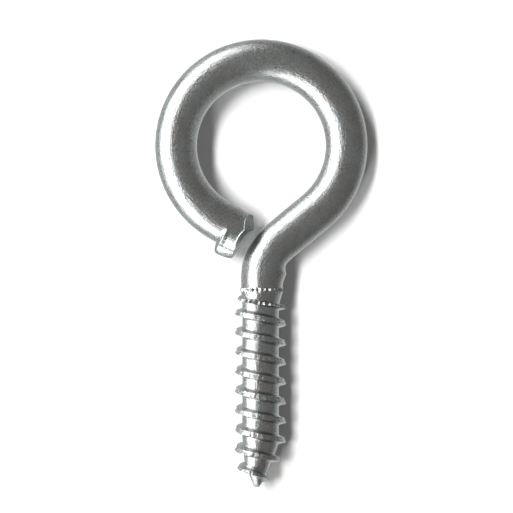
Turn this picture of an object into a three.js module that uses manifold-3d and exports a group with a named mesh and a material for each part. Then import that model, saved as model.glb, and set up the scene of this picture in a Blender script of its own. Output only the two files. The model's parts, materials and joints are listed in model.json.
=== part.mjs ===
// Screw eye: one length of round steel wire, zinc plated. One end is rolled into a coarse wood-screw
// thread with a gimlet point, and the other is bent through a neck into an eye whose cut end stops
// just short of the neck.
//
// Millimetres. The origin is on the shank's axis at the top end of the thread. +Y runs up the shank
// to the eye, the eye lies in the XY plane, and +Z is up when the screw eye lies flat.
// The wire is handed in as four stretches, cut square across and meeting face to face: the eye,
// the neck, the threaded shank and the screw point.

import * as THREE from 'three';
import { mergeVertices } from 'three/addons/utils/BufferGeometryUtils.js';
import Module from 'manifold-3d';

const wasm = await Module();
wasm.setup();

const { degToRad, smoothstep, clamp, lerp } = THREE.MathUtils;

// Wire
const WIRE_DIAMETER = 5.25;
const WIRE_RADIUS = WIRE_DIAMETER / 2;
const WIRE_SIDES = 24;

// Eye: angles go anticlockwise round the eye's centre, from +X towards +Y
const EYE_INSIDE_DIAMETER = 16;
const EYE_RADIUS = (EYE_INSIDE_DIAMETER + WIRE_DIAMETER) / 2;
const EYE_CENTRE = new THREE.Vector3(0.1, 17.65, 0);
const NECK_ANGLE = degToRad(-50.4);   // where the neck runs off the eye
const STUB_ANGLE = degToRad(240);     // where the free end stops curving
const EYE_STEPS = 52;

// Free end: sheared by a pair of cutters, which leave two facets and a lip on the outer side
const END_CORNER = new THREE.Vector3(-0.75, 7.25, 0);
const UPPER_FACET_ANGLE = degToRad(6);
const LOWER_FACET_ANGLE = degToRad(-34.6);
const STUB_LENGTH = 5;                // before it is sheared
const LIP_LENGTH = 2.3;
const LIP_RADIUS = 2.2;
const LIP_OFFSET = 1.2;

// Neck
const BEND_RADIUS = 5.6;
const NECK_OFFSET = 0.2;              // the wire above the thread, beside the thread's axis
const NECK_STEPS = 16;

// Thread: coarse, left hand, rolled into the wire
const THREAD_LENGTH = 24.84;          // from the top end to the tip
const PITCH = 2.42;
const MAJOR_RADIUS = 3.25;
const CORE_RADIUS = 2.275;
const RIDGE_BASE = 1.4;
const RIDGE_CREST = 0.55;
const FIRST_CREST = -4.48;            // where the first full crest crosses the +X side
const RUN_OUT_START = -0.2;
const RUN_OUT_END = -2.6;
const THREAD_SIDES = 24;

// Point
const POINT_START = -19.4;            // where the screw point is parted from the shank
const CORE_TAPER = { start: -18.6, length: 5.9, power: 1.6 };
const CREST_TAPER = { start: -19.2, length: 5.6, power: 2.5 };
const TIP_RADIUS = 0.5;
const TIP_LEAN = -0.4;                // the tip stands this far beside the axis
const LEAN_END = -22.4;

// A curve made of straight and curved pieces, each giving a place and a direction at a distance
class WirePath extends THREE.Curve {
  constructor(pieces) {
    super();
    this.pieces = pieces;
    this.total = pieces.reduce((sum, piece) => sum + piece.length, 0);
  }

  pieceAt(t) {
    let distance = t * this.total;
    let index = 0;
    while (index < this.pieces.length - 1 && distance > this.pieces[index].length) {
      distance -= this.pieces[index].length;
      index += 1;
    }
    return [this.pieces[index], distance];
  }

  getPoint(t, target = new THREE.Vector3()) {
    const [piece, distance] = this.pieceAt(t);
    return target.copy(piece.point(distance));
  }

  getTangent(t, target = new THREE.Vector3()) {
    const [piece, distance] = this.pieceAt(t);
    return target.copy(piece.direction(distance));
  }
}

function straight(start, direction, length) {
  return {
    length,
    point: (distance) => start.clone().addScaledVector(direction, distance),
    direction: () => direction,
  };
}

function arc(centre, radius, from, to) {
  const turn = Math.sign(to - from);
  const angleAt = (distance) => from + (turn * distance) / radius;
  return {
    length: radius * Math.abs(to - from),
    point: (distance) => centre.clone().addScaledVector(radial(angleAt(distance)), radius),
    direction: (distance) => tangent(angleAt(distance)).multiplyScalar(turn),
  };
}

function radial(angle) {
  return new THREE.Vector3(Math.cos(angle), Math.sin(angle), 0);
}

function tangent(angle) {
  return new THREE.Vector3(-Math.sin(angle), Math.cos(angle), 0);
}

function onEye(angle) {
  return EYE_CENTRE.clone().addScaledVector(radial(angle), EYE_RADIUS);
}

// Round wire of a given radius along a path
function wireAlong(path, steps, radius = WIRE_RADIUS) {
  const section = new THREE.Shape().absarc(0, 0, radius, 0, 2 * Math.PI);
  const curveSegments = WIRE_SIDES / 2;
  return new THREE.ExtrudeGeometry(section, { extrudePath: path, steps, curveSegments });
}

function toSolid(geometry) {
  geometry.deleteAttribute('normal');
  geometry.deleteAttribute('uv');
  const merged = mergeVertices(geometry);
  const vertProperties = new Float32Array(merged.attributes.position.array);
  const triVerts = new Uint32Array(merged.index.array);
  return new wasm.Manifold(new wasm.Mesh({ numProp: 3, vertProperties, triVerts }));
}

function toGeometry(solid) {
  const mesh = solid.getMesh();
  const geometry = new THREE.BufferGeometry();
  geometry.setAttribute('position', new THREE.BufferAttribute(mesh.vertProperties, 3));
  geometry.setIndex(new THREE.BufferAttribute(mesh.triVerts, 1));
  geometry.computeVertexNormals();
  return geometry;
}

// A block with one face through a point, filling the space on the side the angle points to
function blockBeyond(point, angle) {
  const depth = 4;
  const width = 2 * WIRE_DIAMETER;
  const block = new THREE.BoxGeometry(depth, width, width);
  block.translate(depth / 2, 0, 0);
  block.rotateZ(angle);
  block.translate(point.x, point.y, point.z);
  return toSolid(block);
}

// The lip that shearing raises on the outer side of the free end
function shearLip(stubStart, stubDirection, cutLength) {
  const start = stubStart.clone();
  start.addScaledVector(stubDirection, cutLength - LIP_LENGTH);
  start.addScaledVector(radial(STUB_ANGLE), LIP_OFFSET);
  const path = new WirePath([straight(start, stubDirection, STUB_LENGTH - cutLength + LIP_LENGTH)]);
  return toSolid(wireAlong(path, 1, LIP_RADIUS));
}

function eyeGeometry() {
  const stubStart = onEye(STUB_ANGLE);
  const stubDirection = tangent(STUB_ANGLE);
  const path = new WirePath([
    arc(EYE_CENTRE, EYE_RADIUS, NECK_ANGLE, STUB_ANGLE),
    straight(stubStart, stubDirection, STUB_LENGTH),
  ]);
  const cutLength = END_CORNER.clone().sub(stubStart).dot(stubDirection);
  return toGeometry(
    toSolid(wireAlong(path, EYE_STEPS))
      .add(shearLip(stubStart, stubDirection, cutLength))
      .subtract(blockBeyond(END_CORNER, UPPER_FACET_ANGLE))
      .subtract(blockBeyond(END_CORNER, LOWER_FACET_ANGLE)),
  );
}

function neckGeometry() {
  const start = onEye(NECK_ANGLE);
  const direction = tangent(NECK_ANGLE).negate();
  const bendStartX = NECK_OFFSET + BEND_RADIUS * (1 - Math.cos(NECK_ANGLE));
  const runLength = (bendStartX - start.x) / direction.x;
  const bendStart = start.clone().addScaledVector(direction, runLength);
  const bendCentre = bendStart.clone().addScaledVector(radial(NECK_ANGLE), BEND_RADIUS);
  const bendEnd = new THREE.Vector3(NECK_OFFSET, bendCentre.y, 0);
  return wireAlong(
    new WirePath([
      straight(start, direction, runLength),
      arc(bendCentre, BEND_RADIUS, NECK_ANGLE + Math.PI, Math.PI),
      straight(bendEnd, new THREE.Vector3(0, -1, 0), bendEnd.y),
    ]),
    NECK_STEPS,
  );
}

// How far a taper has gone at a height: 0 before it starts, 1 at its end
function tapered({ start, length, power }, height) {
  return clamp((start - height) / length, 0, 1) ** power;
}

function coreRadius(height) {
  const shank = lerp(WIRE_RADIUS, CORE_RADIUS, smoothstep(-height, 0, -RUN_OUT_END));
  return lerp(shank, TIP_RADIUS, tapered(CORE_TAPER, height));
}

function crestRadius(height) {
  const raised = smoothstep(-height, -RUN_OUT_START, -RUN_OUT_END);
  const shank = lerp(coreRadius(height), MAJOR_RADIUS, raised);
  return Math.max(coreRadius(height), lerp(shank, TIP_RADIUS, tapered(CREST_TAPER, height)));
}

// Places across one pitch where the surface has a corner or needs a row: the ridge, then the root
const ROOT = PITCH - RIDGE_BASE;
const PROFILE_ROWS = [
  -RIDGE_BASE / 2,
  -RIDGE_CREST / 2,
  RIDGE_CREST / 2,
  RIDGE_BASE / 2,
  RIDGE_BASE / 2 + ROOT / 3,
  RIDGE_BASE / 2 + (2 * ROOT) / 3,
];

function isOnCrest(row) {
  return row === 1 || row === 2;
}

// The threaded wire with rows of points that follow the helix, longer than needed at both ends.
// Each row climbs one pitch in a turn, so it meets the row one pitch above where it closes.
function screwSolid() {
  const perPitch = PROFILE_ROWS.length;
  const turnsBelow = Math.ceil((THREAD_LENGTH + FIRST_CREST) / PITCH) + 2;
  const turnsAbove = Math.ceil(-FIRST_CREST / PITCH) + 1;
  const rows = (turnsBelow + turnsAbove) * perPitch;
  const positions = [];
  const numbers = new Map();

  function pointNumber(row, side) {
    const around = side === THREAD_SIDES ? 0 : side;
    const climbed = side === THREAD_SIDES ? row + perPitch : row;
    const key = climbed * THREAD_SIDES + around;
    if (!numbers.has(key)) {
      const angle = (2 * Math.PI * around) / THREAD_SIDES;
      const turn = Math.floor(climbed / perPitch) - turnsBelow;
      const place = climbed % perPitch;
      const height = FIRST_CREST + PROFILE_ROWS[place] + PITCH * (turn + around / THREAD_SIDES);
      const radius = isOnCrest(place) ? crestRadius(height) : coreRadius(height);
      const shift = NECK_OFFSET * (1 - smoothstep(-height, 0, -RUN_OUT_END));
      const lean = TIP_LEAN * smoothstep(-height, -POINT_START, -LEAN_END);
      numbers.set(key, positions.length / 3);
      positions.push(shift + lean + radius * Math.cos(angle), height, radius * Math.sin(angle));
    }
    return numbers.get(key);
  }

  const triangles = [];
  for (let row = 0; row < rows; row += 1) {
    for (let side = 0; side < THREAD_SIDES; side += 1) {
      const a = pointNumber(row, side);
      const b = pointNumber(row, side + 1);
      const c = pointNumber(row + 1, side + 1);
      const d = pointNumber(row + 1, side);
      triangles.push(a, c, b, a, d, c);
    }
  }

  // Each end is closed by a fan from the axis to the open edge: once round, then down the seam
  function closeEnd(row, axisHeight, facesUp) {
    const rim = [];
    for (let side = 0; side < THREAD_SIDES; side += 1) {
      rim.push(pointNumber(row, side));
    }
    for (let step = perPitch; step > 0; step -= 1) {
      rim.push(pointNumber(row + step, 0));
    }
    const centre = positions.length / 3;
    positions.push(0, axisHeight, 0);
    rim.forEach((point, index) => {
      const next = rim[(index + 1) % rim.length];
      triangles.push(...(facesUp ? [centre, next, point] : [centre, point, next]));
    });
  }
  closeEnd(0, FIRST_CREST - PITCH * (turnsBelow + 1), false);
  closeEnd(rows, FIRST_CREST + PITCH * (turnsAbove + 2), true);

  const vertProperties = new Float32Array(positions);
  const triVerts = new Uint32Array(triangles);
  return new wasm.Manifold(new wasm.Mesh({ numProp: 3, vertProperties, triVerts }));
}

// A slice of the screw between two heights
function screwSlice(screw, bottom, top) {
  const width = 4 * MAJOR_RADIUS;
  const slab = new THREE.BoxGeometry(width, top - bottom, width);
  slab.translate(0, (top + bottom) / 2, 0);
  return toGeometry(screw.intersect(toSolid(slab)));
}

function zincPlatedSteel() {
  return new THREE.MeshStandardMaterial({ color: 0xb4b7b6, roughness: 0.3, metalness: 1 });
}

function namedMesh(name, geometry) {
  const mesh = new THREE.Mesh(geometry, zincPlatedSteel());
  mesh.name = name;
  return mesh;
}

const screw = screwSolid();
const screwEye = new THREE.Group();
screwEye.add(
  namedMesh('eye', eyeGeometry()),
  namedMesh('neck', neckGeometry()),
  namedMesh('threaded_shank', screwSlice(screw, POINT_START, 0)),
  namedMesh('screw_point', screwSlice(screw, -THREAD_LENGTH, POINT_START)),
);

export default screwEye;
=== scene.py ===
"""A zinc-plated steel screw eye lying flat on a pale floor, lit from the left by a long soft lamp.

Lengths are in millimetres until mesh_object() turns them into Blender's metres. +Y runs up the shank
from the thread to the eye, the eye lies in the XY plane and +Z is up. The origin is on the shank's
axis at the top end of the thread. The one bent wire is made as four stretches, one for each CAD node.
"""

import json
import math

import bmesh
import bpy
import numpy as np
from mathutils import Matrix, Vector, noise


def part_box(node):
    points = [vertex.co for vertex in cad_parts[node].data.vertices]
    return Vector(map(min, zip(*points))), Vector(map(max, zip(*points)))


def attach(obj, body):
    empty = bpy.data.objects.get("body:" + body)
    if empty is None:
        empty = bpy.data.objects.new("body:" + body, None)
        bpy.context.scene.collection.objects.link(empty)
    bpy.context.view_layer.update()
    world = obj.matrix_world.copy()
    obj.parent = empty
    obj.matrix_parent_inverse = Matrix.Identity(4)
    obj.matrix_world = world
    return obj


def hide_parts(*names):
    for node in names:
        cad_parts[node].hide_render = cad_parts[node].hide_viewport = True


MM = 0.001
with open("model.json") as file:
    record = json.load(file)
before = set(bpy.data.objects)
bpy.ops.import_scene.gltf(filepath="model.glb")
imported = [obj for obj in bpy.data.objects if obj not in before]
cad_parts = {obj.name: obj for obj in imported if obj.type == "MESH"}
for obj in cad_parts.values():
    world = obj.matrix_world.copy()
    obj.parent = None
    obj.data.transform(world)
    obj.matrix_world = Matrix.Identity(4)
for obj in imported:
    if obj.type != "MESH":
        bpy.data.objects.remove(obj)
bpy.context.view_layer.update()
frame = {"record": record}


# ---------------------------------------------------------------- sizes, from the frame

def box_mm(node):
    low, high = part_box(node)
    return np.array(low) / MM, np.array(high) / MM


EYE_LOW, EYE_HIGH = box_mm("eye")
NECK_LOW = box_mm("neck")[0]
POINT_LOW, POINT_HIGH = box_mm("screw_point")
THREAD = frame["record"]["mount_notes"]["screw_thread"]

WIRE_RADIUS = EYE_HIGH[2]
WIRE_GIRTH = 2 * math.pi * WIRE_RADIUS
EYE_OUTER_RADIUS = (EYE_HIGH[0] - EYE_LOW[0]) / 2
EYE_RADIUS = EYE_OUTER_RADIUS - WIRE_RADIUS
EYE_CENTRE = np.array([(EYE_LOW[0] + EYE_HIGH[0]) / 2, EYE_HIGH[1] - EYE_OUTER_RADIUS, 0])
NECK_OFFSET = NECK_LOW[0] + WIRE_RADIUS
MAJOR_RADIUS = THREAD["major_diameter_mm"] / 2
CORE_RADIUS = THREAD["core_diameter_mm"] / 2
PITCH = THREAD["pitch_mm"]
TIP = POINT_LOW[1]
POINT_START = POINT_HIGH[1]

# The drawn wire is a little undersize and uneven: how much, and how long its waves are
WIRE_UNDERSIZE = 0.006
WIRE_WAVE = 0.004
WIRE_WAVE_LENGTH = 5.3

# The bends, as the wire was formed
NECK_ANGLE = math.radians(-50.4)
STUB_ANGLE = math.radians(240)
BEND_RADIUS = 5.6

# How the bend has changed the neck's round section: the swell inside it, the waist all round, and the
# narrow flash and the flattening outside it. Each fades between two heights.
BEND_SWELL = 0.42
BEND_SWELL_FOOT = (0.2, 1.9)
BEND_SWELL_HEAD = (1.9, 4.2)
NECK_WAIST = 0.05
FLASH = 0.25
FLASH_POWER = 14
FLASH_HEAD = (3.2, 5.6)
FLAT = 0.2
FLAT_POWER = 3
FLAT_HEAD = (4.2, 5.6)

# The free end, left by the shears: facets as (direction in plan, tilt up, how far beyond the corner).
# The lip and the rib have pairs of (mm along the stub, height) and (degrees round it, share of height).
END_CORNER = np.array([-0.75, 7.25, 0])
END_FACETS = [(6, 26, 0), (6, -10, 0), (-38, 42, 1.05), (-38, 12, 0), (-38, -14, 0)]
LIP_ALONG = [
    (1.1, 0),
    (1.35, 0.8),
    (1.65, 1.17),
    (2.0, 1.22),
    (2.5, 1.16),
    (3.4, 0.97),
    (4.1, 0.56),
]
LIP_AROUND = [
    (-60, 0),
    (-25, 0.5),
    (-5, 1),
    (7, 1),
    (26, 0.5),
    (28.5, 0.38),
    (34, 0.36),
    (47, 0.2),
    (90, 0),
]
RIB_ALONG = [(1.38, 0), (1.6, 1), (2.15, 0)]
RIB_AROUND = [(22, 0), (35, 1), (62, 1), (85, 0)]
RIB_HEIGHT = 0.17
BURR_HEIGHT = 0.09
BURR_WIDTH = 0.07
BURR_UPWARD = (0.1, 0.6)
BURR_OUTWARD = (-0.2, 0.1)
END_REACH = 0.7
END_ROUNDS = 4

# The thread: where it starts, runs out and tapers. The tapers are (start, length, power). The point's
# tip is rounded, never quite to nothing, and stops TIP_CUT_OFF mm short of the CAD's.
FIRST_CREST = -4.48
RUN_OUT = (-0.1, -1.9)
RUN_OUT_DROP = 0.45
RUN_OUT_STRETCH = (-3.6, -1.8)
CORE_BLEND = 2.6
CORE_TAPER = (-18.6, 5.9, 1.6)
CREST_TAPER = (-19.2, 5.6, 2.5)
CREST_LOSS = 0.06
LEFT_SIDE_RISE = 0.25
TIP_RADIUS = 0.5
TIP_LEAN = -0.4
LEAN_END = -22.4
LEAST_ROUNDING = 0.02
TIP_CUT_OFF = 0.02

# How the ridge narrows, below at the point and above where it runs out
POINT_NARROWING = 0.35
POINT_NARROWING_DEPTHS = (19.5, 23.5)
BEADED_NARROWING = 0.45
BEADED_RIDGE = (-3.4, -2.2)

# How uneven the ridge is: long wavers and short nicks, both less on the right-hand side. They are read
# off smooth noise along a helix, which has this radius and climbs this much faster than the thread.
NOISE_HELIX_RADIUS = 3
NOISE_HELIX_CLIMB = 1.4
SEED_SHIFT = Vector((17.3, 5.1, 11.7))
WAVER_SIZE = 1.6
NICK_SIZE = 0.5
CREST_WAVER = 0.04
CREST_NICKS = 0.07
HEIGHT_WAVER = 0.05
LEAST_WEAR = 0.15
WEAR_POWER = 2
LEAST_DENTED = 0.2
DENTED_POWER = 3
NOTCH_SHIFT = 3
NOTCH_DEPTH = 0.05
BEADED_NOTCH_DEPTH = 0.35
NOTCH_NICKS = 0.3

# The row of beads at the thread's top end, with slower waves over the even ones
BEADS_PER_TURN = 27
BEAD_RING_HEIGHT = -0.2
BEAD_RING_DIP = 0.1
BEAD_HEIGHT = 0.13
BEAD_WIDTH = 0.24
BEAD_FADE = 0.12
BEAD_SLOW_WAVES = 11
BEAD_SLOW_SHARE = 0.5
BEAD_SLOW_START = 1.0

# Fineness of the meshes: points round the wire and screw, steps along, and rings on the free end.
# The free end's rings start at a share of the stub's run, of END_REACH and of the end's radius.
WIRE_SIDES = 144
WIRE_STEP = 0.3
STUB_RINGS = 56
STUB_START = 0.05
EDGE_RINGS = 18
EDGE_START = 0.93
EDGE_CROWDING = 1.5
FACE_RINGS = 14
FACE_START = 0.985
FACE_END = 0.1
THREAD_SIDES = 144
ROOT_ROWS = 16
SLIVER = 0.0005

# Edges that turn by more than this many degrees are shaded sharp
EYE_SHARP = 35
NECK_SHARP = 40
SCREW_SHARP = 50

# Shifts in mm that keep the texture on the cut face and on the screw apart from the wire's
CUT_FACE_SHIFT = 20
SCREW_SHIFT = -100

# One ridge of the thread: height above its centre line, and share of the full ridge there
RIDGE = [
    (-0.78, 0.0),
    (-0.68, 0.0),
    (-0.60, 0.01),
    (-0.52, 0.06),
    (-0.44, 0.26),
    (-0.37, 0.62),
    (-0.31, 0.90),
    (-0.25, 1.0),
    (-0.17, 0.99),
    (-0.05, 0.91),
    (0.07, 0.83),
    (0.17, 0.78),
    (0.25, 0.80),
    (0.31, 0.82),
    (0.37, 0.72),
    (0.44, 0.46),
    (0.52, 0.24),
    (0.60, 0.10),
    (0.68, 0.04),
    (0.78, 0.0),
]


# ---------------------------------------------------------------- small helpers

def smoothstep(value, low, high):
    t = np.clip((value - low) / (high - low), 0, 1)
    return t * t * (3 - 2 * t)


def taper(height, start, length, power):
    return np.clip((start - height) / length, 0, 1) ** power


def radial(angle):
    return np.array([math.cos(angle), math.sin(angle), 0])


def tangent(angle):
    return np.array([-math.sin(angle), math.cos(angle), 0])


def wander(places, size, seed):
    """Smooth noise from -1 to 1 at each place, humps about size across, different for each seed."""
    shift = seed * SEED_SHIFT
    return np.array([noise.noise(Vector(place) / size + shift) for place in places])


def mesh_object(name, points, faces, uvs, **finishes):
    """A closed mesh from points in mm. uvs: each point's place along and around the wire in mm."""
    mesh = bpy.data.meshes.new(name)
    mesh.from_pydata([tuple(point) for point in np.asarray(points) * MM], [], faces)
    layer = mesh.uv_layers.new(name="wire")
    for face in mesh.polygons:
        corners = [uvs[vertex] for vertex in face.vertices]
        far_side = max(around for along, around in corners) - WIRE_GIRTH / 2
        for loop, (along, around) in zip(face.loop_indices, corners):
            layer.data[loop].uv = (along, around + WIRE_GIRTH * (around < far_side))
    for finish, amounts in finishes.items():
        attribute = mesh.attributes.new(finish, "FLOAT", "POINT")
        attribute.data.foreach_set("value", np.asarray(amounts, dtype=np.float32))
    mesh.validate()
    obj = bpy.data.objects.new(name, mesh)
    bpy.context.scene.collection.objects.link(obj)
    return obj


def finish_surface(obj, sharp_degrees):
    mesh = obj.data
    mesh.shade_smooth()
    mesh.set_sharp_from_angle(angle=math.radians(sharp_degrees))


# ---------------------------------------------------------------- the bent wire

def straight_run(start, direction, length, step):
    count = max(2, round(length / step) + 1)
    distances = np.linspace(0, length, count)
    places = start + distances[:, None] * direction
    return places, np.tile(direction, (count, 1))


def curved_run(centre, radius, start, end, step):
    count = max(2, round(radius * abs(end - start) / step) + 1)
    angles = np.linspace(start, end, count)
    places = centre + radius * np.array([radial(angle) for angle in angles])
    turn = math.copysign(1, end - start)
    return places, turn * np.array([tangent(angle) for angle in angles])


def neck_path():
    """The centre line from the thread's top end up to the eye."""
    eye_end = EYE_CENTRE + EYE_RADIUS * radial(NECK_ANGLE)
    direction = tangent(NECK_ANGLE)
    bend_x = NECK_OFFSET + BEND_RADIUS * (1 - math.cos(NECK_ANGLE))
    run_length = (eye_end[0] - bend_x) / direction[0]
    bend_end = eye_end - run_length * direction
    bend_centre = bend_end + BEND_RADIUS * radial(NECK_ANGLE)
    foot = np.array([NECK_OFFSET, 0, 0])
    pieces = [
        straight_run(foot, np.array([0.0, 1.0, 0.0]), bend_centre[1], WIRE_STEP),
        curved_run(bend_centre, BEND_RADIUS, math.pi, math.pi + NECK_ANGLE, WIRE_STEP),
        straight_run(bend_end, direction, run_length, WIRE_STEP),
    ]
    return join_runs(pieces)


def join_runs(pieces):
    places = [pieces[0][0]]
    directions = [pieces[0][1]]
    for run_places, run_directions in pieces[1:]:
        places.append(run_places[1:])
        directions.append(run_directions[1:])
    return np.vstack(places), np.vstack(directions)


def side_angles():
    return np.arange(WIRE_SIDES) * 2 * math.pi / WIRE_SIDES


def ring_directions(direction):
    """Unit vectors from the centre line to each side, from the right-hand side round over the top."""
    right = np.array([direction[1], -direction[0], 0])
    angles = side_angles()
    return np.cos(angles)[:, None] * right + np.sin(angles)[:, None] * np.array([0, 0, 1])


def wire_radius(distance):
    return WIRE_RADIUS * (1 + WIRE_WAVE * math.sin(distance / WIRE_WAVE_LENGTH) - WIRE_UNDERSIZE)


def ring_faces(rings, sides):
    faces = []
    for ring in range(rings - 1):
        for side in range(sides):
            following = (side + 1) % sides
            low = ring * sides
            high = low + sides
            faces.append((low + side, high + side, high + following, low + following))
    return faces


def end_faces(rings, sides):
    last = (rings - 1) * sides
    return [tuple(range(sides)), tuple(reversed(range(last, last + sides)))]


def swept_rings(places, directions, start_distance):
    points = []
    uvs = []
    distance = start_distance
    arc_places = side_angles() * WIRE_RADIUS
    for index, (place, direction) in enumerate(zip(places, directions)):
        if index:
            distance += np.linalg.norm(place - places[index - 1])
        radius = wire_radius(distance)
        points.append(place + radius * ring_directions(direction))
        uvs.append(np.column_stack([np.full(WIRE_SIDES, distance), arc_places]))
    return points, uvs, distance


def neck_bulge(height, angles):
    """How the bend has squeezed the wire: fuller inside it, drawn in outside it, with a low flash."""
    facing = np.cos(angles)
    inner = smoothstep(height, *BEND_SWELL_FOOT) * (1 - smoothstep(height, *BEND_SWELL_HEAD))
    outer = 1 - smoothstep(height, *FLASH_HEAD)
    swell = BEND_SWELL * inner * np.clip(facing, 0, 1)
    flash = FLASH * outer * np.clip(-facing, 0, 1) ** FLASH_POWER
    flat = FLAT * (1 - smoothstep(height, *FLAT_HEAD)) * np.clip(-facing, 0, 1) ** FLAT_POWER
    return swell + flash - flat - NECK_WAIST * outer


def make_neck():
    places, directions = neck_path()
    points, uvs, distance = swept_rings(places, directions, 0)
    for ring, place in enumerate(places):
        bulge = neck_bulge(place[1], side_angles())
        points[ring] = points[ring] + bulge[:, None] * ring_directions(directions[ring])
    faces = ring_faces(len(points), WIRE_SIDES) + end_faces(len(points), WIRE_SIDES)
    points = np.vstack(points)
    neck = mesh_object("wire_neck", points, faces, np.vstack(uvs))
    finish_surface(neck, NECK_SHARP)
    return neck, distance


def facet_normal(plan_degrees, tilt_degrees):
    tilt = math.radians(tilt_degrees)
    flat = radial(math.radians(plan_degrees)) * math.cos(tilt)
    return flat + np.array([0, 0, math.sin(tilt)])


def run_to_facets(starts, direction):
    """How far each line along direction runs before it meets the sheared end."""
    lengths = []
    for plan_degrees, tilt_degrees, reach in END_FACETS:
        normal = facet_normal(plan_degrees, tilt_degrees)
        lengths.append((reach + (END_CORNER - starts) @ normal) / (direction @ normal))
    return np.min(lengths, axis=0)


def signed_degrees(angles):
    return (np.degrees(angles) + 180) % 360 - 180


def lip_height(run, angles):
    """The lip squeezed out by the shears on the outer side, with a low rib across where it starts."""
    degrees = signed_degrees(angles)
    lip = np.interp(run, *zip(*LIP_ALONG)) * np.interp(degrees, *zip(*LIP_AROUND))
    rib = np.interp(run, *zip(*RIB_ALONG)) * np.interp(degrees, *zip(*RIB_AROUND))
    return lip + RIB_HEIGHT * rib


def burr_height(to_end, angles):
    """The thin burr along the top edge of the cut, tallest on the outer side."""
    upper = smoothstep(np.sin(angles), *BURR_UPWARD)
    outer = 0.5 + 0.5 * smoothstep(np.cos(angles), *BURR_OUTWARD)
    return BURR_HEIGHT * np.exp(-to_end / BURR_WIDTH) * (upper * outer)


def stub_runs(lengths):
    """How far along the stub each ring lies: evenly at first, then closer and closer to the cut."""
    runs = [share * (lengths - END_REACH) for share in np.linspace(STUB_START, 1, STUB_RINGS)]
    to_ends = END_REACH * np.linspace(EDGE_START, 0, EDGE_RINGS) ** EDGE_CROWDING
    return runs + [lengths - to_end for to_end in to_ends]


def make_eye(start_distance):
    arc = curved_run(EYE_CENTRE, EYE_RADIUS, NECK_ANGLE, STUB_ANGLE, WIRE_STEP)
    points, uvs, distance = swept_rings(*arc, start_distance)
    direction = tangent(STUB_ANGLE)
    around = ring_directions(direction)
    angles = side_angles()
    radius = wire_radius(distance)
    centre = arc[0][-1]

    # The lip's height depends on the run and the run on the lip, so they are settled in turn
    lengths = run_to_facets(centre + radius * around, direction)
    for _ in range(END_ROUNDS):
        end_radius = radius + lip_height(lengths, angles)
        lengths = run_to_facets(centre + end_radius[:, None] * around, direction)
    for run in stub_runs(lengths):
        swell = lip_height(run, angles) + burr_height(lengths - run, angles)
        spread = (radius + swell)[:, None] * around
        points.append(centre + spread + run[:, None] * direction)
        uvs.append(np.column_stack([distance + run, angles * WIRE_RADIUS]))

    side_rings = len(points)
    for share in np.linspace(FACE_START, FACE_END, FACE_RINGS):
        spread = share * end_radius[:, None] * around
        run = run_to_facets(centre + spread, direction)
        points.append(centre + spread + run[:, None] * direction)
        flat = np.column_stack([spread @ around[0], spread[:, 2]])
        uvs.append(flat + distance + CUT_FACE_SHIFT)

    faces = ring_faces(len(points), WIRE_SIDES) + end_faces(len(points), WIRE_SIDES)
    points = np.vstack(points)
    cut = np.zeros(len(points))
    cut[side_rings * WIRE_SIDES:] = 1
    eye = mesh_object("wire_eye", points, faces, np.vstack(uvs), cut=cut)
    finish_surface(eye, EYE_SHARP)
    return eye


# ---------------------------------------------------------------- the thread and the point

def core_radius(height):
    shank = WIRE_RADIUS + (CORE_RADIUS - WIRE_RADIUS) * smoothstep(-height, 0, CORE_BLEND)
    tapered = shank + (TIP_RADIUS - shank) * taper(height, *CORE_TAPER)
    rounding = np.clip((height - TIP) / TIP_RADIUS, LEAST_ROUNDING, 1)
    return tapered * np.sqrt(1 - (1 - rounding) ** 2)


def crest_radius(height):
    core = core_radius(height)
    shank = core + (MAJOR_RADIUS - core) * smoothstep(-height, -RUN_OUT[0], -RUN_OUT[1])
    return np.maximum(core, shank + (TIP_RADIUS - shank) * taper(height, *CREST_TAPER))


def profile_rows():
    """Rows from one ridge up to the next: heights, and how much of the full ridge stands there."""
    heights, shares = np.array(RIDGE).T
    root = np.linspace(heights[-1], heights[0] + PITCH, ROOT_ROWS + 2)[1:-1]
    return np.append(heights, root), np.append(shares, np.zeros(ROOT_ROWS))


def leftward(angles):
    """0 on the screw's right-hand side and 1 on its left."""
    return 0.5 - 0.5 * np.cos(angles)


def ridge_place(climb, angles):
    """Height of the ridge's centre line after so many turns up, and how wide the ridge is there."""
    even = FIRST_CREST + PITCH * climb
    run_out = smoothstep(even, *RUN_OUT_STRETCH)
    centre = even - RUN_OUT_DROP * run_out + LEFT_SIDE_RISE * (1 - run_out) * leftward(angles)
    at_point = smoothstep(-centre, *POINT_NARROWING_DEPTHS)
    beaded = smoothstep(centre, *BEADED_RIDGE)
    return centre, 1 - POINT_NARROWING * at_point - BEADED_NARROWING * beaded


def row_heights(climb, angles, offsets, waver):
    """Heights of points at offsets from the ridge's centre: on the ridge, or on the root above it."""
    centre, width = ridge_place(climb, angles)
    next_centre, next_width = ridge_place(climb + 1, angles)
    reach = RIDGE[-1][0]
    root_start = centre + reach * width
    root_end = next_centre - reach * next_width
    up_the_root = (offsets - reach) / (PITCH - 2 * reach)
    on_root = root_start + up_the_root * (root_end - root_start)
    on_ridge = centre + offsets * width + HEIGHT_WAVER * waver * (np.abs(offsets) < reach)
    return np.where(offsets > reach, on_root, on_ridge)


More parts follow.
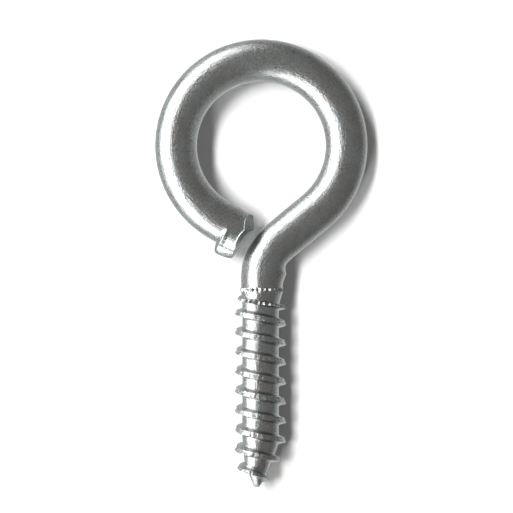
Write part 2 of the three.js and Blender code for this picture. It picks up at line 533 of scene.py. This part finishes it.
def screw_points(angles, turns, offsets, shares):
    """Points of the screw's surface: angle round, whole turns up, place across the ridge."""
    climb = turns + angles / (2 * math.pi)
    centre = ridge_place(climb, angles)[0]
    across = NOISE_HELIX_RADIUS * np.cos(angles)
    upward = NOISE_HELIX_RADIUS * np.sin(angles)
    helix = np.column_stack([across, centre * NOISE_HELIX_CLIMB, upward])
    waver = wander(helix, WAVER_SIZE, 1)
    nicks = wander(helix, NICK_SIZE, 2)
    heights = row_heights(climb, angles, offsets, waver)
    core = core_radius(heights)
    wear = LEAST_WEAR + (1 - LEAST_WEAR) * leftward(angles) ** WEAR_POWER
    uneven = wear * (CREST_WAVER * waver + CREST_NICKS * nicks)
    crest = crest_radius(centre) - CREST_LOSS + uneven
    notches = 0.5 - 0.5 * np.cos(BEADS_PER_TURN * angles + NOTCH_SHIFT * waver)
    beaded = smoothstep(centre, *BEADED_RIDGE)
    notched = NOTCH_DEPTH + (BEADED_NOTCH_DEPTH + NOTCH_NICKS * nicks) * beaded
    radii = core + np.maximum(crest - core, 0) * shares * (1 - notched * notches)
    return heights, radii


def bead_height(heights, angles):
    """The row of beads that the rolling dies leave at the thread's top end."""
    ring = BEAD_RING_HEIGHT - BEAD_RING_DIP * (1 - np.sin(angles))
    slow = np.cos(BEAD_SLOW_WAVES * angles + BEAD_SLOW_START)
    wave = np.cos(BEADS_PER_TURN * angles) + BEAD_SLOW_SHARE * slow
    fade = smoothstep(-heights, 0, BEAD_FADE)
    return BEAD_HEIGHT * wave * fade * np.exp(-(((heights - ring) / BEAD_WIDTH) ** 2))


def screw_grid(count, rows):
    """Places of the points as (row, side), their numbers, and the faces between them."""
    # Column 0 holds one more pitch of rows, because each row closes on the one a pitch above it
    grid = []
    for row in range(count + rows + 1):
        sides = THREAD_SIDES if row <= count else 1
        for side in range(sides):
            grid.append((row, side))
    number = {place: index for index, place in enumerate(grid)}

    def numbered(row, side):
        return number[(row + rows, 0)] if side == THREAD_SIDES else number[(row, side)]

    faces = []
    for row in range(count):
        for side in range(THREAD_SIDES):
            faces.append((
                numbered(row, side),
                numbered(row + 1, side),
                numbered(row + 1, side + 1),
                numbered(row, side + 1),
            ))
    return np.array(grid), faces


def make_screw():
    """The thread and the point as one surface, longer than the screw at both ends."""
    offsets, shares = profile_rows()
    rows = len(offsets)
    below = math.ceil((FIRST_CREST - TIP) / PITCH) + 2
    above = math.ceil(-FIRST_CREST / PITCH) + 2
    grid, faces = screw_grid((below + above) * rows, rows)
    angles = grid[:, 1] * 2 * math.pi / THREAD_SIDES
    turns = grid[:, 0] // rows - below
    place = grid[:, 0] % rows
    heights, radii = screw_points(angles, turns, offsets[place], shares[place])
    beads = bead_height(heights, angles)
    radii = radii + beads
    dented = LEAST_DENTED + (1 - LEAST_DENTED) * leftward(angles) ** DENTED_POWER
    rolled = np.clip(shares[place] * dented + np.abs(beads) / BEAD_HEIGHT, 0, 1)

    sideways = NECK_OFFSET * (1 - smoothstep(-heights, 0, CORE_BLEND))
    sideways = sideways + TIP_LEAN * smoothstep(-heights, -POINT_START, -LEAN_END)
    points = np.column_stack([sideways + radii * np.cos(angles), heights, radii * np.sin(angles)])
    uvs = np.column_stack([heights + SCREW_SHIFT, angles * WIRE_RADIUS])
    return points, faces, uvs, rolled


def slice_screw(name, surface, bottom, top):
    """The stretch of the screw between two heights, closed by flat faces."""
    points, faces, uvs, rolled = surface
    piece = mesh_object(name, points, faces, uvs, rolled=rolled)
    bm = bmesh.new()
    bm.from_mesh(piece.data)
    for height, side in ((bottom, -1), (top, 1)):
        cut = bmesh.ops.bisect_plane(
            bm,
            geom=bm.verts[:] + bm.edges[:] + bm.faces[:],
            plane_co=(0, height * MM, 0),
            plane_no=(0, side, 0),
            clear_outer=True,
        )
        rim = [item for item in cut["geom_cut"] if isinstance(item, bmesh.types.BMEdge)]
        bmesh.ops.edgeloop_fill(bm, edges=rim)
    bmesh.ops.dissolve_degenerate(bm, dist=SLIVER * MM, edges=bm.edges[:])
    bmesh.ops.recalc_face_normals(bm, faces=bm.faces[:])
    bm.to_mesh(piece.data)
    bm.free()
    finish_surface(piece, SCREW_SHARP)
    return piece


# ---------------------------------------------------------------- materials

# Depths of the surface's texture in metres, and the stretch of noise over which the dents set in
GRAIN_DEPTH = 0.00004
PIT_DEPTH = 0.00003
DENT_DEPTH = 0.000008
ROLLED_DENT_DEPTH = 0.00007
DENT_ONSET = (0.5, 0.7)

# The noises that vary the surface, as (scale per mm, detail, roughness), and how far the streaks, which
# are the drawing lines, are drawn out along the wire
CLOUDS = (0.45, 3.0, 0.6)
MOTTLE = (5.5, 3.0, 0.6)
STREAKS = (4.5, 3.0, 0.6)
SPOTS = (4.0, 1.5, 0.5)
STREAK_STRETCH = 0.2

# The zinc's roughness, from one level of the mottle to another, and its colours as (level, colour)
ROUGHNESS_LEVELS = (0.3, 0.7)
SMOOTHEST = 0.24
ROUGHEST = 0.36
WARM_ZINC = (0.3, 0.425, 0.405, 0.395)
COOL_ZINC = (0.7, 0.485, 0.515, 0.52)
DUSKY = (0.35, 0.80, 0.80, 0.80)
CLEAR = (0.6, 1, 1, 1)
# The cut face's darker colour: bare steel, plus painted shade for the dark neck and shadowed floor it
# reflects
BARE_STEEL_AND_PAINTED_SHADE = (0.55, 0.58, 0.55, 1)

FLOOR_COLOUR = (0.64, 0.64, 0.64, 1)
FLOOR_ROUGHNESS = 0.6
FLOOR_SHEEN = 0.2


def add_node(tree, kind, **values):
    node = tree.nodes.new(kind)
    for name, value in values.items():
        if name in node.inputs:
            node.inputs[name].default_value = value
        else:
            setattr(node, name, value)
    return node


def wire_place(tree, stretch):
    """Places on the wire as if it were straight, with the length scaled by stretch."""
    place = add_node(tree, "ShaderNodeUVMap")
    place.uv_map = "wire"
    parts = add_node(tree, "ShaderNodeSeparateXYZ")
    tree.links.new(place.outputs["UV"], parts.inputs[0])
    straight = add_node(tree, "ShaderNodeCombineXYZ")
    along = add_node(tree, "ShaderNodeMath", operation="MULTIPLY")
    along.inputs[1].default_value = stretch
    tree.links.new(parts.outputs["X"], along.inputs[0])
    tree.links.new(along.outputs[0], straight.inputs["X"])
    turn = add_node(tree, "ShaderNodeMath", operation="DIVIDE")
    turn.inputs[1].default_value = WIRE_RADIUS
    tree.links.new(parts.outputs["Y"], turn.inputs[0])
    for operation, side in (("COSINE", "Y"), ("SINE", "Z")):
        wave = add_node(tree, "ShaderNodeMath", operation=operation)
        tree.links.new(turn.outputs[0], wave.inputs[0])
        offset = add_node(tree, "ShaderNodeMath", operation="MULTIPLY")
        offset.inputs[1].default_value = WIRE_RADIUS
        tree.links.new(wave.outputs[0], offset.inputs[0])
        tree.links.new(offset.outputs[0], straight.inputs[side])
    return straight


def noise_node(tree, place, scale, detail, roughness):
    texture = add_node(tree, "ShaderNodeTexNoise", Scale=scale, Detail=detail, Roughness=roughness)
    tree.links.new(place.outputs["Vector"], texture.inputs["Vector"])
    return texture


def range_node(tree, factor, low, high, **values):
    spread = add_node(tree, "ShaderNodeMapRange", **values)
    spread.inputs["From Min"].default_value = low
    spread.inputs["From Max"].default_value = high
    tree.links.new(factor.outputs["Fac"], spread.inputs["Value"])
    return spread


def ramp_node(tree, factor, low, high):
    """A ramp between two (position, red, green, blue) ends."""
    ramp = add_node(tree, "ShaderNodeValToRGB")
    for end, (position, *colour) in zip(ramp.color_ramp.elements, (low, high)):
        end.position = position
        end.color = (*colour, 1)
    tree.links.new(factor.outputs["Fac"], ramp.inputs["Fac"])
    return ramp


def bump_node(tree, texture, output, distance, below=None):
    bump = add_node(tree, "ShaderNodeBump", Strength=1.0, Distance=distance)
    tree.links.new(texture.outputs[output], bump.inputs["Height"])
    if below is not None:
        tree.links.new(below.outputs["Normal"], bump.inputs["Normal"])
    return bump


def multiply_node(tree):
    """A new node that multiplies two colours: its factor, its two colours and its result."""
    node = add_node(tree, "ShaderNodeMix", data_type="RGBA", blend_type="MULTIPLY")
    factor, first, second = [socket for socket in node.inputs if socket.enabled]
    result = next(socket for socket in node.outputs if socket.enabled)
    return factor, first, second, result


def zinc_colour(tree, clouds, mottle):
    """Cloudy zinc with dusky specks, and darker where the shears cut: bare steel, plus painted shade for
    the neck's dark side and the shadowed floor that the cut face reflects.
    """
    tint = ramp_node(tree, clouds, WARM_ZINC, COOL_ZINC)
    dusk = ramp_node(tree, mottle, DUSKY, CLEAR)
    factor, first, second, colour = multiply_node(tree)
    factor.default_value = 1.0
    tree.links.new(tint.outputs["Color"], first)
    tree.links.new(dusk.outputs["Color"], second)
    cut = add_node(tree, "ShaderNodeAttribute", attribute_name="cut")
    factor, first, second, darker = multiply_node(tree)
    # Darken the cut face: bare steel, plus painted shade for the dark neck and shadowed floor it
    # reflects
    second.default_value = BARE_STEEL_AND_PAINTED_SHADE
    tree.links.new(cut.outputs["Fac"], factor)
    tree.links.new(colour, first)
    return darker


def zinc_relief(tree, streaks, mottle, spots):
    """Drawing lines and pits all over, and sparse dents that are deeper where the dies rolled."""
    grain = bump_node(tree, streaks, "Fac", GRAIN_DEPTH)
    pits = bump_node(tree, mottle, "Fac", PIT_DEPTH, below=grain)
    sparse = range_node(tree, spots, *DENT_ONSET, interpolation_type="SMOOTHSTEP")
    rolled = add_node(tree, "ShaderNodeAttribute", attribute_name="rolled")
    depth = add_node(tree, "ShaderNodeMath", operation="MULTIPLY_ADD")
    depth.inputs[1].default_value = ROLLED_DENT_DEPTH
    depth.inputs[2].default_value = DENT_DEPTH
    tree.links.new(rolled.outputs["Fac"], depth.inputs[0])
    dents = bump_node(tree, sparse, "Result", 1.0, below=pits)
    tree.links.new(depth.outputs[0], dents.inputs["Distance"])
    return dents.outputs["Normal"]


def zinc_material():
    material = bpy.data.materials.new("zinc_plated_steel")
    material.use_nodes = True
    tree = material.node_tree
    link = tree.links.new
    shader = tree.nodes["Principled BSDF"]
    shader.inputs["Metallic"].default_value = 1.0
    shader.inputs["IOR"].default_value = 1.5

    stretched = wire_place(tree, STREAK_STRETCH)
    body = add_node(tree, "ShaderNodeTexCoord")
    millimetres = add_node(tree, "ShaderNodeMapping")
    millimetres.inputs["Scale"].default_value = (1 / MM, 1 / MM, 1 / MM)
    link(body.outputs["Object"], millimetres.inputs["Vector"])
    clouds = noise_node(tree, millimetres, *CLOUDS)
    mottle = noise_node(tree, millimetres, *MOTTLE)
    streaks = noise_node(tree, stretched, *STREAKS)
    spots = noise_node(tree, millimetres, *SPOTS)

    rough = range_node(tree, mottle, *ROUGHNESS_LEVELS)
    rough.inputs["To Min"].default_value = SMOOTHEST
    rough.inputs["To Max"].default_value = ROUGHEST
    link(rough.outputs["Result"], shader.inputs["Roughness"])
    link(zinc_colour(tree, clouds, mottle), shader.inputs["Base Color"])
    link(zinc_relief(tree, streaks, mottle, spots), shader.inputs["Normal"])
    return material


def floor_material():
    material = bpy.data.materials.new("pale_floor")
    material.use_nodes = True
    tree = material.node_tree
    shader = tree.nodes["Principled BSDF"]
    shader.inputs["Base Color"].default_value = FLOOR_COLOUR
    shader.inputs["Roughness"].default_value = FLOOR_ROUGHNESS
    shader.inputs["Specular IOR Level"].default_value = FLOOR_SHEEN
    return material


# ---------------------------------------------------------------- stage, light and camera

# The floor and the lamp in metres. The lamp stands to the left, along the shank.
FLOOR_HALF = 3.0
LAMP_DISTANCE = 0.1
LAMP_BOTTOM = 0.011
LAMP_TOP = 0.11
LAMP_LENGTH = 2.0
LAMP_RADIANCE = 6.0
LAMP_COLOUR = (0.97, 1.0, 1.0)

# The key light is a fan of soft suns round the left: how high the middle one stands, and how far each
# turns from it
KEY_HEADING = 180
KEY_DEGREES = 63
KEY_SOFTNESS = 10
KEY_SPREAD = (-48, -34, -20, -9, 1, 12, 60)
KEY_IRRADIANCE = 5.4

# How bright the room is: by how far up a direction points, from 0 straight down to 1 straight up
HORIZON = 0.5
ROOM = [(0.08, 0.9), (0.4, 0.24), (0.5, 0.17), (0.75, 0.24), (1.0, 0.265)]
ROOM_TINT_BELOW = (0.96, 1.0, 0.99)
ROOM_TINT_ABOVE = (1.0, 1.0, 0.965)
BACKGROUND = 0.9

# The camera's lens, and the width and centre in mm of what it frames
LENS = 135
FRAME_WIDTH = 63.9
FRAME_CENTRE = (-0.49, 3.86)


def make_floor():
    """A flat floor that touches the thread's lowest crests and the underside of the eye's right side."""
    eye_side = EYE_CENTRE[0] + EYE_RADIUS
    roll = math.asin((MAJOR_RADIUS - WIRE_RADIUS) / eye_side)
    mesh = bpy.data.meshes.new("floor")
    corners = [(-1, -1), (1, -1), (1, 1), (-1, 1)]
    points = []
    for x, y in corners:
        height = x * FLOOR_HALF * math.tan(roll) - MAJOR_RADIUS * MM / math.cos(roll)
        points.append((x * FLOOR_HALF, y * FLOOR_HALF, height))
    mesh.from_pydata(points, [], [(0, 1, 2, 3)])
    floor = bpy.data.objects.new("floor", mesh)
    bpy.context.scene.collection.objects.link(floor)
    mesh.materials.append(floor_material())
    floor.visible_glossy = False


def make_key():
    for turn in KEY_SPREAD:
        sun = bpy.data.lights.new("key", "SUN")
        sun.angle = math.radians(KEY_SOFTNESS)
        across = math.cos(math.radians(turn))
        elevation = math.atan(math.tan(math.radians(KEY_DEGREES)) * across)
        sun.energy = KEY_IRRADIANCE / len(KEY_SPREAD) / math.sin(elevation)
        obj = bpy.data.objects.new("key", sun)
        heading = math.radians(KEY_HEADING + turn)
        towards = Vector((
            math.cos(heading) * math.cos(elevation),
            math.sin(heading) * math.cos(elevation),
            math.sin(elevation),
        ))
        obj.rotation_euler = towards.to_track_quat("Z", "Y").to_euler()
        obj.visible_glossy = False
        bpy.context.scene.collection.objects.link(obj)


def make_lamp():
    lamp_height = LAMP_TOP - LAMP_BOTTOM
    lamp = bpy.data.lights.new("lamp", "AREA")
    lamp.shape = "RECTANGLE"
    lamp.color = LAMP_COLOUR
    lamp.size = LAMP_LENGTH
    lamp.size_y = lamp_height
    lamp.energy = LAMP_RADIANCE * math.pi * LAMP_LENGTH * lamp_height
    obj = bpy.data.objects.new("lamp", lamp)
    obj.location = (-LAMP_DISTANCE, 0, LAMP_BOTTOM + lamp_height / 2)
    obj.rotation_euler = Vector((-1, 0, 0)).to_track_quat("Z", "Y").to_euler()
    obj.visible_diffuse = False
    obj.visible_camera = False
    bpy.context.scene.collection.objects.link(obj)


def room_node(tree):
    """The room's colour: a ramp by how far up the direction points."""
    direction = add_node(tree, "ShaderNodeTexCoord")
    split = add_node(tree, "ShaderNodeSeparateXYZ")
    tree.links.new(direction.outputs["Generated"], split.inputs[0])
    upward = add_node(tree, "ShaderNodeMapRange")
    upward.inputs["From Min"].default_value = -1
    upward.inputs["From Max"].default_value = 1
    tree.links.new(split.outputs["Z"], upward.inputs["Value"])
    ramp = add_node(tree, "ShaderNodeValToRGB")
    while len(ramp.color_ramp.elements) < len(ROOM):
        ramp.color_ramp.elements.new(HORIZON)
    for stop, (place, level) in zip(ramp.color_ramp.elements, ROOM):
        tint = ROOM_TINT_BELOW if place < HORIZON else ROOM_TINT_ABOVE
        stop.position = place
        stop.color = [level * part for part in tint] + [1]
    tree.links.new(upward.outputs["Result"], ramp.inputs["Fac"])
    return ramp


def make_surroundings():
    """A dim room for the metal to reflect, with a plain pale background behind the floor."""
    world = bpy.data.worlds.new("surroundings")
    bpy.context.scene.world = world
    world.use_nodes = True
    tree = world.node_tree
    dim = tree.nodes["Background"]
    tree.links.new(room_node(tree).outputs["Color"], dim.inputs["Color"])
    pale = add_node(tree, "ShaderNodeBackground", Strength=BACKGROUND)
    seen = add_node(tree, "ShaderNodeLightPath")
    mix = add_node(tree, "ShaderNodeMixShader")
    tree.links.new(seen.outputs["Is Camera Ray"], mix.inputs[0])
    tree.links.new(dim.outputs[0], mix.inputs[1])
    tree.links.new(pale.outputs[0], mix.inputs[2])
    tree.links.new(mix.outputs[0], tree.nodes["World Output"].inputs["Surface"])


def make_camera():
    camera = bpy.data.cameras.new("camera")
    camera.lens = LENS
    distance = FRAME_WIDTH * MM * LENS / camera.sensor_width
    camera.clip_start = 0.01
    camera.clip_end = 20
    obj = bpy.data.objects.new("camera", camera)
    obj.location = (FRAME_CENTRE[0] * MM, FRAME_CENTRE[1] * MM, distance)
    bpy.context.scene.collection.objects.link(obj)
    bpy.context.scene.camera = obj


# ---------------------------------------------------------------- the scene

def main():
    bpy.context.scene.view_settings.view_transform = "Standard"
    make_camera()
    make_floor()
    make_key()
    make_lamp()
    make_surroundings()

    neck, neck_length = make_neck()
    eye = make_eye(neck_length)
    surface = make_screw()
    shank = slice_screw("wire_threaded_shank", surface, POINT_START, 0)
    point = slice_screw("wire_screw_point", surface, TIP + TIP_CUT_OFF, POINT_START)
    zinc = zinc_material()
    stretches = [(eye, "eye"), (neck, "neck"), (shank, "threaded_shank"), (point, "screw_point")]
    for piece, node in stretches:
        piece.data.materials.append(zinc)
        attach(piece, "root")
        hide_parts(node)


main()
